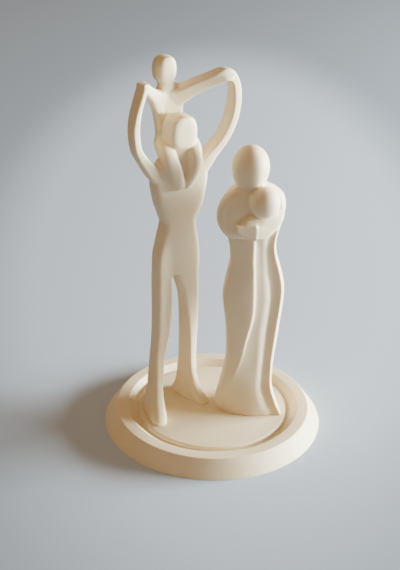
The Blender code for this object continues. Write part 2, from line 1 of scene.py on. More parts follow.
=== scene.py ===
# %% [markdown]
# # A family group, carved and printed in ivory plastic
#
# The real object is a small ornament: a father with a child on his shoulders, and a mother with a
# baby, on a round plinth. It was printed in thin level layers from one ivory plastic, so its beauty
# is all in soft planes, long edges and the way light soaks into the material. This lesson loads the
# exact solids first, then shapes a finer skin over each of them, and finishes with the plastic, the
# light and the camera.

import math

import bmesh
import bpy
from mathutils import Matrix, Vector


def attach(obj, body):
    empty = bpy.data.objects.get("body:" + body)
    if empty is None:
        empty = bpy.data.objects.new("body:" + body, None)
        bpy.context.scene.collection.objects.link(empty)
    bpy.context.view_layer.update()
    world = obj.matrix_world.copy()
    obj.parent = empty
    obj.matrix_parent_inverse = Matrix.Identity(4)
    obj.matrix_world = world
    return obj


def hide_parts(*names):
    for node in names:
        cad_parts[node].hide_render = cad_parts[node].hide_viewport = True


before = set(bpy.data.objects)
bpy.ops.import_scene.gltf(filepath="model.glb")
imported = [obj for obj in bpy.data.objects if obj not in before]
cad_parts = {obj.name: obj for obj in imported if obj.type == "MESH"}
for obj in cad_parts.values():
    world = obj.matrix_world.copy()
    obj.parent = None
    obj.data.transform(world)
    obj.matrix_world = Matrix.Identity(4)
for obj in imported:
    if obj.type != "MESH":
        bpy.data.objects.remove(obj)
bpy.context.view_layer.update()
print("nodes:", sorted(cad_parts))


# %% [markdown]
# ## The plinth
#
# The plinth is a turned form: one half-section carried round an axis. It could be lathed with a
# Screw or Spin, but a Geometry Nodes tree says the same thing as a rule that can still be changed:
# eight corner points come from named sizes, each corner is rounded by its own radius, and the line
# is swept round a circle.

# %% Sizes of the plinth
PLINTH_RADIUS = 0.0550
PLINTH_HEIGHT = 0.0084
RIM_OUTER_RADIUS = 0.0489
RIM_INNER_RADIUS = 0.0432
GROOVE_DEPTH = 0.0030
GROOVE_WALL_RUN = 0.0034
GROOVE_FLOOR_WIDTH = 0.0017
DISC_HEIGHT = 0.0070
PLINTH_CORNER_ROUNDS = (0.0, 0.0024, 0.0005, 0.0022, 0.0005, 0.0009, 0.0, 0.0)
PLINTH_SEGMENTS = 256
CORNER_POINTS = 7
WELD_DISTANCE = 0.00001
PLINTH_SHARP_ANGLE = math.radians(50)
disc_radius = RIM_INNER_RADIUS - GROOVE_WALL_RUN - GROOVE_FLOOR_WIDTH
groove_floor = PLINTH_HEIGHT - GROOVE_DEPTH
plinth_corners = [
    (0.0, DISC_HEIGHT),
    (disc_radius, DISC_HEIGHT),
    (disc_radius, groove_floor),
    (disc_radius + GROOVE_FLOOR_WIDTH, groove_floor),
    (RIM_INNER_RADIUS, PLINTH_HEIGHT),
    (RIM_OUTER_RADIUS, PLINTH_HEIGHT),
    (PLINTH_RADIUS, 0.0),
    (0.0, 0.0),
]
print("disc radius", round(disc_radius, 4), "groove floor", round(groove_floor, 4))


# %% A helper that adds one node and links its inputs
def add_node(tree, kind, links=None, **settings):
    """Adds a node, sets its properties, and feeds its inputs with sockets or plain values."""
    node = tree.nodes.new(kind)
    for key, value in settings.items():
        setattr(node, key, value)
    for key, value in (links or {}).items():
        if isinstance(value, bpy.types.NodeSocket):
            tree.links.new(value, node.inputs[key])
        else:
            node.inputs[key].default_value = value
    return node


def settle(name, thing):
    """Bakes an object's modifiers into a plain mesh object of that name and removes the first one."""
    bpy.context.view_layer.update()
    evaluated = thing.evaluated_get(bpy.context.evaluated_depsgraph_get())
    mesh = bpy.data.meshes.new_from_object(evaluated)
    bpy.data.objects.remove(thing)
    mesh.name = name
    made = bpy.data.objects.new(name, mesh)
    bpy.context.scene.collection.objects.link(made)
    return made


# %% The turning rule as a Geometry Nodes tree
def turning_tree():
    """A tree that sweeps eight rounded corner points round the Z axis into one closed body."""
    tree = bpy.data.node_groups.new("turned_plinth", "GeometryNodeTree")
    tree.is_modifier = True
    face = tree.interface
    face.new_socket("Geometry", in_out="OUTPUT", socket_type="NodeSocketGeometry")
    face.new_socket("Segments", in_out="INPUT", socket_type="NodeSocketInt").default_value = PLINTH_SEGMENTS
    face.new_socket("Finish", in_out="INPUT", socket_type="NodeSocketMaterial")
    for number in range(len(plinth_corners)):
        face.new_socket(f"Corner {number}", in_out="INPUT", socket_type="NodeSocketVector")
        face.new_socket(f"Round {number}", in_out="INPUT", socket_type="NodeSocketFloat")
    inputs = tree.nodes.new("NodeGroupInput").outputs
    index = add_node(tree, "GeometryNodeInputIndex").outputs["Index"]
    places = add_node(tree, "GeometryNodeIndexSwitch", data_type="VECTOR")
    rounds = add_node(tree, "GeometryNodeIndexSwitch", data_type="FLOAT")
    for switch, label in ((places, "Corner"), (rounds, "Round")):
        while len(switch.index_switch_items) < len(plinth_corners):
            switch.index_switch_items.new()
        tree.links.new(index, switch.inputs["Index"])
        for number in range(len(plinth_corners)):
            tree.links.new(inputs[f"{label} {number}"], switch.inputs[number + 1])
    line = add_node(tree, "GeometryNodeMeshLine", {"Count": len(plinth_corners)})
    bent = add_node(tree, "GeometryNodeSetPosition", {
        "Geometry": line.outputs["Mesh"],
        "Position": places.outputs["Output"],
    })
    section = add_node(tree, "GeometryNodeMeshToCurve", {"Mesh": bent.outputs["Geometry"]})
    softened = add_node(tree, "GeometryNodeFilletCurve", {
        "Curve": section.outputs["Curve"],
        "Count": CORNER_POINTS,
        "Radius": rounds.outputs["Output"],
        "Limit Radius": True,
    }, mode="POLY")
    circle = add_node(tree, "GeometryNodeCurvePrimitiveCircle", {
        "Resolution": inputs["Segments"],
        "Radius": PLINTH_RADIUS,
    })
    swept = add_node(tree, "GeometryNodeCurveToMesh", {
        "Curve": circle.outputs["Curve"],
        "Profile Curve": softened.outputs["Curve"],
    })
    merged = add_node(tree, "GeometryNodeMergeByDistance", {
        "Geometry": swept.outputs["Mesh"],
        "Distance": WELD_DISTANCE,
    })
    whole = add_node(tree, "GeometryNodeRealizeInstances", {"Geometry": merged.outputs["Geometry"]})
    finished = add_node(tree, "GeometryNodeSetMaterial", {
        "Geometry": whole.outputs["Geometry"],
        "Material": inputs["Finish"],
    })
    result = tree.nodes.new("NodeGroupOutput")
    tree.links.new(finished.outputs["Geometry"], result.inputs["Geometry"])
    return tree


def turn_plinth(finish):
    """Runs the tree on an empty mesh, with the section written relative to the circle it follows."""
    host = bpy.data.objects.new("plinth_host", bpy.data.meshes.new("plinth_host"))
    bpy.context.scene.collection.objects.link(host)
    modifier = host.modifiers.new("turn", "NODES")
    modifier.node_group = turning_tree()
    sockets = {item.name: item.identifier for item in modifier.node_group.interface.items_tree}
    modifier[sockets["Segments"]] = PLINTH_SEGMENTS
    modifier[sockets["Finish"]] = finish
    for number, (radius, height) in enumerate(plinth_corners):
        modifier[sockets[f"Corner {number}"]] = (radius - PLINTH_RADIUS, -height, 0.0)
        modifier[sockets[f"Round {number}"]] = PLINTH_CORNER_ROUNDS[number]
    return settle("turned_plinth", host)


# %% [markdown]
# ## Carving tools
#
# Every limb is a soft-edged bar that bends as it goes, and every head is a blank egg. Metaballs
# would give soft joins but no crisp edges, and sculpting by hand can't be repeated exactly. So each
# form is lofted from a few stations, all forms of a figure are dropped into one mesh, and a fine
# voxel remesh casts them in one.

# %% Lofting helpers
FRONT = Vector((0, -1, 0))
DOWN = Vector((0, 0, -1))
SIDEWAYS = Vector((1, 0, 0))
LIMB_SIDES = 40
RINGS_BETWEEN = 7


def smooth_between(before, start, end, after, share):
    """Catmull-Rom value between start and end."""
    rise_in = (end - before) / 2
    rise_out = (after - start) / 2
    turn = 3 * (end - start) - 2 * rise_in - rise_out
    close = 2 * (start - end) + rise_in + rise_out
    return start + share * (rise_in + share * (turn + share * close))


def refine(stations, between):
    """Adds smooth stations between the given ones, each a tuple of numbers."""
    refined = []
    last = len(stations) - 1
    for index in range(last):
        around = [
            stations[max(index - 1, 0)],
            stations[index],
            stations[index + 1],
            stations[min(index + 2, last)],
        ]
        for step in range(between + 1):
            share = step / (between + 1)
            refined.append(tuple(smooth_between(*values, share) for values in zip(*around)))
    refined.append(tuple(stations[-1]))
    return refined


def superellipse(half_across, half_deep, squareness, sides):
    """Points round a rounded rectangle: squareness 2 is an ellipse, and a larger one is boxier."""
    points = []
    for index in range(sides):
        angle = 2 * math.pi * (index + 0.5) / sides
        cosine = math.cos(angle)
        sine = math.sin(angle)
        across = math.copysign(abs(cosine) ** (2 / squareness), cosine)
        deep = math.copysign(abs(sine) ** (2 / squareness), sine)
        points.append((half_across * across, half_deep * deep))
    return points


def close_rings(cage, rings):
    """Skins a list of equal rings and caps both ends."""
    count = len(rings[0])
    for low, high in zip(rings, rings[1:]):
        for index in range(count):
            after = (index + 1) % count
            cage.faces.new((low[index], low[after], high[after], high[index]))
    cage.faces.new(tuple(reversed(rings[0])))
    cage.faces.new(rings[-1])


def limb(cage, stations, deep_axis, squareness=4.5, square_to=None):
    """Lofts one closed limb through stations of (x, y, z, half_across, half_deep, turn in degrees).

    Its rings stand square to its path, or all of them to one direction.
    """
    rings = []
    path = refine(stations, RINGS_BETWEEN)
    for index, (x, y, z, half_across, half_deep, turn) in enumerate(path):
        here = path[max(index - 1, 0)]
        there = path[min(index + 1, len(path) - 1)]
        along = square_to or (Vector(there[:3]) - Vector(here[:3])).normalized()
        across = along.cross(Matrix.Rotation(math.radians(turn), 3, "Z") @ deep_axis).normalized()
        deep = across.cross(along).normalized()
        ring = []
        for right, back in superellipse(half_across, half_deep, squareness, LIMB_SIDES):
            ring.append(cage.verts.new(Vector((x, y, z)) + across * right + deep * back))
        rings.append(ring)
    close_rings(cage, rings)


# %% Blank heads
EGG_MERIDIANS = 64
EGG_BANDS = 40
RIDGE_SOFTNESS = 0.12


def egg(cage, centre, half_across, half_deep, rise, drop, ridge=0.0, taper=0.0, ridge_place=0.0):
    """A blank round head: ridge lifts a soft line down its face, and taper narrows it toward the chin."""
    made = bmesh.ops.create_uvsphere(cage, u_segments=EGG_MERIDIANS, v_segments=EGG_BANDS, radius=1.0)
    for vertex in made["verts"]:
        x, y, z = vertex.co
        half_high = rise if z > 0 else drop
        narrow = 1 - taper * max(0.0, -z) ** 2
        away = math.hypot(x - ridge_place, RIDGE_SOFTNESS)
        front = 1 + ridge * max(0.0, 1 - 2 * away) if y < 0 else 1
        vertex.co = Vector((
            centre[0] + x * half_across * narrow,
            centre[1] + y * half_deep * front * narrow,
            centre[2] + z * half_high,
        ))


SLAB_RINGS = 24
SLAB_SIDES = 64
SLAB_EDGE_DEGREES = 84
SLAB_FULLNESS = 2.5
CROWN_FALL = 0.05


def egg_slab(cage, centre, half_across, half_deep, rise, drop, flat_top, squareness):
    """A blank head cut from a slab: an upright oval with a nearly flat crown and rounded edges."""
    rings = []
    for step in range(SLAB_RINGS):
        angle = math.radians(-SLAB_EDGE_DEGREES + 2 * SLAB_EDGE_DEGREES * step / (SLAB_RINGS - 1))
        size = math.cos(angle) ** (2 / squareness)
        deep = math.copysign(abs(math.sin(angle)) ** (2 / squareness), angle)
        ring = []
        for across, high in superellipse(size, size, SLAB_FULLNESS, SLAB_SIDES):
            height = high * (rise if high > 0 else drop)
            crown = flat_top - CROWN_FALL * (across * half_across) ** 2
            ring.append(cage.verts.new(Vector((
                centre[0] + across * half_across,
                centre[1] + deep * half_deep,
                centre[2] + min(height, crown),
            ))))
        rings.append(ring)
    close_rings(cage, rings)


# %% [markdown]
# ## Casting a figure in one
#
# The forms overlap inside the figure. Booleans would keep every hard join, but the real ornament
# flows from limb to body, so a voxel remesh melts them together and a few rounds of smoothing take
# off the voxel steps. The print is fused to the disc, so the lowest millimetre of each figure is
# drawn down into it.

# %% Cast the loose forms into one skin
STAND_GAP = 0.0003
FUSED_BAND = 1.0
FUSED_DROP = 0.5
SKIN_VOXEL = 0.44
SMOOTHING_ROUNDS = 4
SMOOTHING_SHARE = 0.5


def cast_figure(name, cage, place, heading, unit):
    """Melts overlapping forms into one skin, set down at its place and turned to its heading."""
    bmesh.ops.recalc_face_normals(cage, faces=cage.faces)
    mesh = bpy.data.meshes.new(name + "_forms")
    cage.to_mesh(mesh)
    cage.free()
    forms = bpy.data.objects.new(name + "_forms", mesh)
    bpy.context.scene.collection.objects.link(forms)
    melt = forms.modifiers.new("melt", "REMESH")
    melt.mode = "VOXEL"
    melt.voxel_size = SKIN_VOXEL
    ease = forms.modifiers.new("ease", "SMOOTH")
    ease.factor = SMOOTHING_SHARE
    ease.iterations = SMOOTHING_ROUNDS
    figure = settle(name, forms)
    for vertex in figure.data.vertices:
        low = max(0.0, 1 - vertex.co.z / FUSED_BAND)
        vertex.co.z -= FUSED_DROP * min(low, 1.0)
    turn = Matrix.Rotation(heading, 4, "Z")
    stand = Matrix.Translation((place[0], place[1], DISC_HEIGHT + STAND_GAP))
    figure.data.transform(stand @ turn @ Matrix.Scale(unit, 4))
    figure.data.shade_smooth()
    print(name, len(figure.data.vertices), "vertices")
    return figure


# %% [markdown]
# ## Father and child
#
# The father is cut like a flat board figure: square-edged legs and torso with a pinch at the waist,
# and two long arms that rise into a heart shape round the child. He is built in his own frame,
# where x runs across the shoulders, y runs back, and z runs up from the soles, with one unit for
# each 1/181.5 of his height. Each station of a form is its centre, its half width and half depth,
# and the degrees that its section is turned.

# %% Father's place and body
FATHER_HEIGHT = 0.1815
FATHER_UNITS_TALL = 181.5
FATHER_PLACE = (-0.0185, 0.0006)
FATHER_HEADING = math.radians(33)
father_cage = bmesh.new()
HIPS = [
    (-0.8, 0.2, 76.5, 11.1, 4.3, 0),
    (-0.9, 0.2, 79.0, 11.5, 4.5, 0),
    (-0.9, 0.2, 85.5, 11.4, 4.6, 0),
    (-0.7, 0.2, 90.5, 10.7, 4.6, 0),
    (-0.5, 0.3, 95.5, 9.6, 4.6, 0),
    (-0.2, 0.4, 100.0, 8.6, 4.6, 0),
    (-0.1, 0.5, 104.2, 8.1, 4.5, 0),
]
CHEST = [
    (-0.1, 0.5, 103.6, 8.1, 4.5, 0),
    (0.0, 0.4, 107.5, 9.8, 4.5, 0),
    (0.3, 0.4, 112.0, 11.7, 4.6, 0),
    (0.4, 0.4, 118.0, 13.1, 4.7, 0),
    (0.4, 0.4, 124.0, 14.0, 4.6, 0),
    (0.5, 0.5, 129.5, 13.6, 4.4, 0),
    (0.6, 0.6, 134.5, 10.5, 4.0, 0),
    (0.5, 0.8, 139.0, 6.5, 3.4, 0),
]
limb(father_cage, HIPS, FRONT, squareness=8)
limb(father_cage, CHEST, FRONT, squareness=8)

# %% Father's legs and feet
LEFT_LEG = [
    (-7.7, 0.6, 84.0, 4.3, 4.5, 0),
    (-8.2, 0.8, 74.0, 4.0, 4.6, 0),
    (-8.0, 1.1, 60.0, 4.0, 4.5, 0),
    (-7.9, 1.9, 47.0, 3.8, 4.3, 0),
    (-8.7, 2.6, 37.0, 3.2, 4.1, 0),
    (-9.4, 3.4, 28.5, 2.7, 4.0, 2),
    (-9.9, 3.6, 20.0, 2.4, 4.4, 4),
    (-10.6, 3.0, 14.0, 2.5, 5.0, 0),
]
RIGHT_LEG = [
    (3.9, 0.0, 84.0, 6.3, 3.6, 0),
    (4.1, 0.0, 76.7, 6.2, 3.8, 0),
    (5.2, 0.2, 70.0, 5.2, 3.8, 0),
    (6.4, 0.5, 62.0, 4.3, 3.7, 3),
    (7.4, 1.4, 49.0, 3.7, 3.9, 14),
    (8.0, 2.6, 37.0, 3.3, 3.9, 24),
    (8.5, 3.8, 24.0, 3.0, 4.0, 27),
    (8.6, 4.2, 16.0, 2.9, 4.6, 27),
]
LEFT_FOOT = [
    (-10.2, 3.4, 18.0, 2.4, 4.5, 3),
    (-11.0, 2.6, 13.0, 2.7, 5.4, -2),
    (-12.2, 0.9, 9.0, 3.2, 7.4, -8),
    (-13.1, -0.8, 6.0, 3.6, 9.6, -11),
    (-13.9, -2.0, 3.0, 4.1, 11.6, -12),
    (-14.3, -2.4, 1.0, 4.4, 12.3, -12),
    (-14.4, -2.5, 0.0, 4.4, 12.4, -12),
]
RIGHT_FOOT = [
    (8.6, 4.2, 18.0, 2.9, 4.4, 27),
    (8.9, 4.7, 13.0, 3.0, 5.2, 26),
    (9.4, 4.9, 9.0, 3.1, 6.2, 22),
    (9.7, 4.7, 6.0, 3.2, 7.6, 18),
    (9.9, 4.0, 3.0, 3.3, 10.0, 15),
    (10.0, 3.1, 1.0, 3.4, 11.8, 14),
    (10.0, 3.0, 0.0, 3.4, 12.0, 14),
]
limb(father_cage, LEFT_LEG, FRONT, squareness=6)
limb(father_cage, RIGHT_LEG, FRONT, squareness=8)
limb(father_cage, LEFT_FOOT, FRONT, squareness=3, square_to=DOWN)
limb(father_cage, RIGHT_FOOT, FRONT, squareness=4, square_to=DOWN)

# %% Father's raised arms
LEFT_ARM = [
    (-8.0, 0.0, 126.0, 4.2, 3.6, 0),
    (-13.2, 0.0, 130.0, 3.6, 3.6, 0),
    (-17.9, 0.0, 135.7, 2.5, 3.4, 0),
    (-20.4, -0.2, 139.3, 2.2, 3.3, 0),
    (-22.5, -0.4, 143.2, 1.9, 3.0, 4),
    (-23.5, -0.6, 148.4, 1.9, 2.9, 6),
    (-23.8, -0.8, 154.0, 1.9, 2.9, 6),
    (-23.2, -1.0, 159.5, 1.7, 3.0, 8),
    (-22.0, -1.2, 164.5, 1.5, 3.0, 10),
    (-20.4, -1.4, 169.6, 1.5, 3.0, 12),
    (-19.5, -1.5, 172.6, 1.7, 3.0, 12),
    (-19.4, -1.5, 174.3, 1.8, 2.9, 12),
]
RIGHT_ARM = [
    (7.5, 0.0, 124.5, 4.4, 3.6, 0),
    (13.0, 0.0, 130.0, 3.6, 3.7, 0),
    (17.0, 0.0, 134.2, 2.7, 3.8, 0),
    (20.4, -0.1, 137.6, 2.4, 3.9, 0),
    (23.7, -0.2, 141.4, 2.3, 3.9, 0),
    (26.4, -0.4, 146.0, 2.3, 3.8, 0),
    (28.2, -0.6, 151.0, 2.35, 3.7, 4),
    (29.3, -0.8, 157.0, 2.35, 3.5, 6),
    (29.4, -1.0, 163.0, 2.35, 3.1, 8),
    (28.4, -1.0, 168.0, 2.3, 2.7, 8),
    (26.2, -0.8, 171.4, 2.4, 2.2, 8),
    (23.4, -0.6, 172.4, 2.4, 2.0, 4),
]
limb(father_cage, LEFT_ARM, FRONT, squareness=6)
limb(father_cage, RIGHT_ARM, FRONT, squareness=6)

# %% Father's head and neck
NECK = [
    (0.6, 0.4, 134.0, 4.2, 3.4, 0),
    (0.5, -0.4, 143.0, 3.6, 3.2, 0),
]
THROAT = [
    (0.4, 0.4, 141.0, 4.6, 3.8, 0),
    (0.4, 0.0, 134.0, 5.6, 4.4, 0),
    (0.4, 0.0, 126.0, 5.0, 4.6, 0),
    (0.4, 0.4, 118.0, 4.0, 3.8, 0),
]
limb(father_cage, NECK, FRONT)
limb(father_cage, THROAT, FRONT, squareness=2.6)
egg_slab(
    father_cage, (0.6, 0.1, 147.6),
    half_across=7.3, half_deep=5.8, rise=8.9, drop=8.0, flat_top=8.2, squareness=4.6,
)

# %% The child's body, arms and legs
CHILD_BODY = [
    (1.2, 8.0, 134.0, 6.4, 3.6, 0),
    (1.2, 9.6, 141.0, 7.0, 3.6, 0),
    (1.2, 10.6, 148.0, 6.8, 3.4, 0),
    (1.3, 11.0, 154.0, 6.6, 3.1, 0),
    (1.1, 11.0, 160.0, 7.2, 3.0, 0),
    (0.4, 11.0, 164.4, 6.4, 3.0, 0),
    (-0.6, 11.0, 167.0, 4.0, 2.8, 0),
]
CHILD_NECK = [
    (-0.4, 11.0, 163.0, 5.4, 3.0, 0),
    (-0.7, 11.0, 166.4, 4.0, 2.9, 0),
    (-0.9, 11.0, 169.0, 3.4, 2.8, 0),
    (-1.0, 11.0, 173.0, 3.5, 2.9, 0),
]
CHILD_LEFT_ARM = [
    (0.0, 11.0, 159.0, 5.2, 2.8, 0),
    (-4.6, 10.0, 160.8, 4.4, 2.8, 0),
    (-9.0, 7.0, 164.2, 3.2, 2.7, 0),
    (-13.8, 3.0, 168.2, 2.4, 2.6, 0),
    (-18.4, -0.8, 172.2, 2.1, 2.5, 0),
]
CHILD_RIGHT_ARM = [
    (1.0, 11.0, 159.6, 5.4, 2.8, 10),
    (5.6, 9.4, 161.9, 4.7, 2.8, 10),
    (10.8, 6.0, 165.5, 3.7, 2.7, 12),
    (16.6, 2.2, 168.9, 3.3, 2.6, 12),
    (21.6, -1.3, 171.7, 3.1, 2.6, 10),
    (25.0, -2.2, 171.6, 2.9, 2.4, 6),
    (26.8, -2.2, 170.4, 2.3, 2.3, 0),
]
CHILD_LEFT_WEB = [
    (-2.6, 10.0, 140.0, 2.4, 2.8, 0),
    (-3.4, 10.6, 147.0, 2.3, 2.8, 0),
    (-4.2, 10.6, 152.5, 2.4, 2.8, 0),
    (-5.6, 10.0, 157.0, 2.4, 2.7, 0),
    (-8.0, 8.8, 161.0, 2.2, 2.6, 0),
    (-10.6, 6.8, 163.6, 1.8, 2.4, 0),
]
CHILD_LEFT_LEG = [
    (-2.4, 9.6, 141.6, 3.8, 4.0, 0),
    (-5.4, 5.0, 141.8, 3.8, 4.2, 0),
    (-7.2, 0.0, 140.4, 3.9, 4.1, 0),
    (-7.0, -3.6, 136.4, 3.8, 4.0, 0),
    (-5.0, -4.6, 130.8, 3.5, 3.7, 0),
    (-2.6, -4.2, 125.6, 3.0, 3.2, 0),
    (-0.6, -3.6, 122.2, 2.2, 2.4, 0),
]
CHILD_RIGHT_LEG = [
    (4.4, 9.6, 141.6, 3.8, 3.8, 0),
    (6.2, 5.0, 141.8, 3.8, 4.0, 0),
    (6.8, 0.0, 140.6, 3.8, 3.9, 0),
    (6.4, -3.6, 136.4, 3.7, 3.6, 0),
    (5.2, -4.6, 130.8, 3.4, 3.3, 0),
    (3.2, -4.2, 125.6, 3.0, 3.0, 0),
    (1.2, -3.6, 122.2, 2.2, 2.4, 0),
]
limb(father_cage, CHILD_BODY, FRONT, squareness=4.5)
limb(father_cage, CHILD_NECK, FRONT, squareness=3)
limb(father_cage, CHILD_LEFT_ARM, FRONT, squareness=4)
limb(father_cage, CHILD_RIGHT_ARM, FRONT, squareness=6)
limb(father_cage, CHILD_LEFT_WEB, FRONT, squareness=4)
limb(father_cage, CHILD_LEFT_LEG, SIDEWAYS, squareness=2.4)
limb(father_cage, CHILD_RIGHT_LEG, SIDEWAYS, squareness=2.4)
egg_slab(
    father_cage, (-1.2, 11.2, 174.6),
    half_across=5.2, half_deep=4.5, rise=6.5, drop=6.8, flat_top=6.0, squareness=3.4,
)
father = cast_figure(
    "father_and_child_skin", father_cage, FATHER_PLACE, FATHER_HEADING, FATHER_HEIGHT / FATHER_UNITS_TALL
)

# %% [markdown]
# ## Mother and baby
#
# The mother's gown is one tall folded form. Its sharp ridge, the step beside it, the hollow and the
# second ridge are long lines that run from the hem to the arms, so the gown is lofted from those
# lines: at each height they are joined round by short stretches that swell or sink.

# %% The gown's long lines
MOTHER_HEIGHT = 0.1436
MOTHER_UNITS_TALL = 143.6
MOTHER_PLACE = (0.0195, -0.0030)
MOTHER_HEADING = math.radians(18)
# Each line is a list of (height, across, forward) from the hem up
GOWN_LINES = {
    "left": [
        (0.0, -15.6, -4.3), (5.0, -17.6, -4.0), (8.0, -17.1, -3.7), (14.0, -15.4, -3.0), (20.0, -14.2, -2.4),
        (27.0, -13.3, -1.4), (37.0, -13.1, -0.3), (48.0, -13.7, 0.0), (57.0, -14.6, 0.0), (67.0, -15.7, 0.0),
        (74.0, -15.1, 0.0), (80.5, -13.7, 0.0), (86.0, -12.9, 0.0), (93.5, -13.6, 0.0), (98.0, -14.6, 0.0),
        (104.0, -15.8, 0.0), (111.0, -16.8, 0.0), (117.0, -16.8, 0.0), (121.0, -15.4, 0.0),
        (123.5, -12.0, 0.0), (126.0, -8.5, 0.0),
    ],
    "ridge": [
        (0.0, -15.0, -3.2), (5.0, -14.6, -2.4), (11.0, -13.0, -0.8), (21.0, -10.7, 2.0), (32.0, -7.4, 3.6),
        (41.0, -5.8, 4.6), (48.5, -4.2, 5.2), (55.0, -2.9, 5.7), (64.0, -2.5, 6.0), (75.0, -2.8, 6.0),
        (88.0, -3.3, 5.7), (95.0, -3.5, 6.0), (97.0, -3.6, 6.0), (99.0, -3.8, 4.6), (103.0, -3.8, 4.2),
        (108.0, -3.8, 4.8), (117.0, -3.8, 5.8), (123.5, -4.0, 5.0), (126.0, -4.0, 4.6),
    ],
    "step": [
        (0.0, -13.6, -1.8), (5.0, -13.4, -1.4), (11.0, -12.0, -0.2), (21.0, -9.8, 2.2), (32.0, -6.6, 3.4),
        (41.0, -4.9, 3.9), (48.5, -3.1, 4.1), (55.0, -1.7, 4.5), (64.0, -1.3, 4.8), (75.0, -1.6, 4.8),
        (88.0, -2.1, 4.5), (95.0, -2.2, 4.8), (98.0, -2.3, 5.4), (101.0, -2.3, 6.4), (105.0, -2.2, 7.2),
        (111.0, -2.3, 6.4), (117.0, -2.4, 5.9), (123.5, -2.8, 5.0), (126.0, -3.0, 4.6),
    ],
    "crest": [
        (0.0, 3.0, 7.6), (5.0, 2.0, 6.8), (14.0, 0.6, 5.1), (22.0, 0.6, 4.8), (31.0, 0.8, 4.6),
        (40.0, 0.8, 4.6), (48.0, 1.0, 4.7), (57.0, 1.9, 4.9), (66.0, 2.7, 5.1), (73.0, 2.2, 5.0),
        (80.0, 1.3, 4.6), (92.0, 0.2, 4.5), (98.0, 0.0, 5.6),
        (103.0, 0.2, 7.4), (108.0, 0.6, 7.8), (112.0, 1.0, 6.6),
        (117.0, 0.6, 5.7), (123.5, -1.4, 4.8), (126.0, -2.4, 4.4),
    ],
    "valley": [
        (0.0, 8.6, 8.2), (5.0, 6.2, 6.4), (14.0, 3.9, 4.3), (22.0, 3.7, 3.9), (31.0, 4.1, 3.7),
        (40.0, 4.8, 3.5), (48.0, 5.5, 3.4), (57.0, 6.3, 3.6), (66.0, 6.6, 3.8), (73.0, 5.8, 3.8),
        (80.0, 4.3, 3.9), (92.0, 3.3, 4.2), (98.0, 3.9, 4.8),
        (102.0, 4.8, 5.6), (106.0, 6.2, 6.0), (111.0, 6.4, 5.2),
        (117.0, 4.6, 5.0), (123.5, 0.6, 4.4), (126.0, -1.4, 4.2),
    ],
    "second_ridge": [
        (0.0, 12.9, 9.9), (5.0, 10.7, 8.2), (14.0, 8.2, 6.4), (20.0, 7.8, 5.7), (29.0, 8.0, 5.3),
        (39.0, 8.9, 5.2), (50.0, 10.0, 5.3), (61.0, 11.1, 5.5), (68.5, 11.6, 5.6), (75.0, 10.9, 5.5),
        (82.0, 9.3, 5.4), (89.0, 7.4, 5.4), (94.0, 6.8, 5.5),
        (98.5, 7.2, 5.8), (102.0, 7.8, 6.0), (106.0, 8.6, 5.6),
        (111.0, 9.8, 4.4), (117.0, 9.4, 4.2), (123.5, 4.0, 3.6), (126.0, 0.4, 3.2),
    ],
    "right": [
        (0.0, 13.3, 8.6), (5.0, 12.0, 6.0), (12.0, 10.1, 4.4), (17.0, 9.6, 3.0), (24.0, 10.1, 2.0),
        (31.0, 10.9, 1.0), (39.0, 12.1, 0.4), (47.0, 13.1, 0.0), (55.5, 14.0, 0.0), (63.0, 14.6, 0.0),
        (70.5, 14.5, 0.0), (76.0, 13.4, 0.0), (82.5, 11.6, 0.0), (87.0, 10.1, 0.0), (91.5, 9.2, 0.0),
        (95.5, 9.2, 0.0), (99.5, 10.0, 0.0), (104.0, 11.5, 0.0), (108.0, 12.8, 0.0), (113.0, 13.6, 0.0),
        (118.4, 12.3, 0.0), (121.0, 9.9, 0.0), (123.5, 6.2, 0.0), (126.0, 1.6, 0.0),
    ],
    "back_right": [
        (0.0, 11.4, -10.4), (14.0, 9.4, -8.8), (31.0, 9.4, -7.4), (48.0, 11.0, -7.6), (66.0, 12.2, -8.6),
        (80.0, 10.0, -8.0), (92.0, 8.0, -7.2), (104.0, 9.6, -8.0), (114.0, 10.4, -8.0), (121.0, 7.0, -6.8),
        (126.0, 0.0, -5.0),
    ],
    "back": [
        (0.0, 0.0, -18.4), (14.0, -1.6, -15.8), (31.0, -1.4, -12.8), (48.0, -0.6, -13.0), (66.0, -0.6, -14.2),
        (80.0, -1.4, -13.0), (92.0, -2.0, -11.8), (104.0, -2.6, -12.8),
        (114.0, -3.2, -12.6), (121.0, -3.8, -10.4),
        (126.0, -4.2, -7.4),
    ],
    "back_left": [
        (0.0, -11.6, -14.4), (14.0, -11.8, -12.2), (31.0, -10.4, -9.2),
        (48.0, -10.8, -8.8), (66.0, -12.4, -9.6),
        (80.0, -10.8, -8.6), (92.0, -9.4, -7.6), (104.0, -12.2, -8.2), (114.0, -13.8, -8.0),
        (121.0, -12.8, -6.6), (126.0, -8.2, -4.8),
    ],
}
# Each stretch between two lines: points on it, then its swell at the hem and higher up,
# as shares of its length
GOWN_STRETCHES = [
    ("left", "ridge", 12, 0.04, 0.05),
    ("ridge", "step", 3, 0.0, 0.0),
    ("step", "crest", 9, 0.10, -0.02),
    ("crest", "valley", 7, 0.04, 0.10),
    ("valley", "second_ridge", 7, 0.0, -0.06),
    ("second_ridge", "right", 6, 0.0, 0.10),
    ("right", "back_right", 8, 0.06, 0.14),
    ("back_right", "back", 8, 0.06, 0.06),
    ("back", "back_left", 8, 0.06, 0.06),
    ("back_left", "left", 8, 0.14, 0.10),
]
HEM_FLARE_HEIGHT = 30.0
GOWN_TOP = 126.0
GOWN_LEVELS = 160


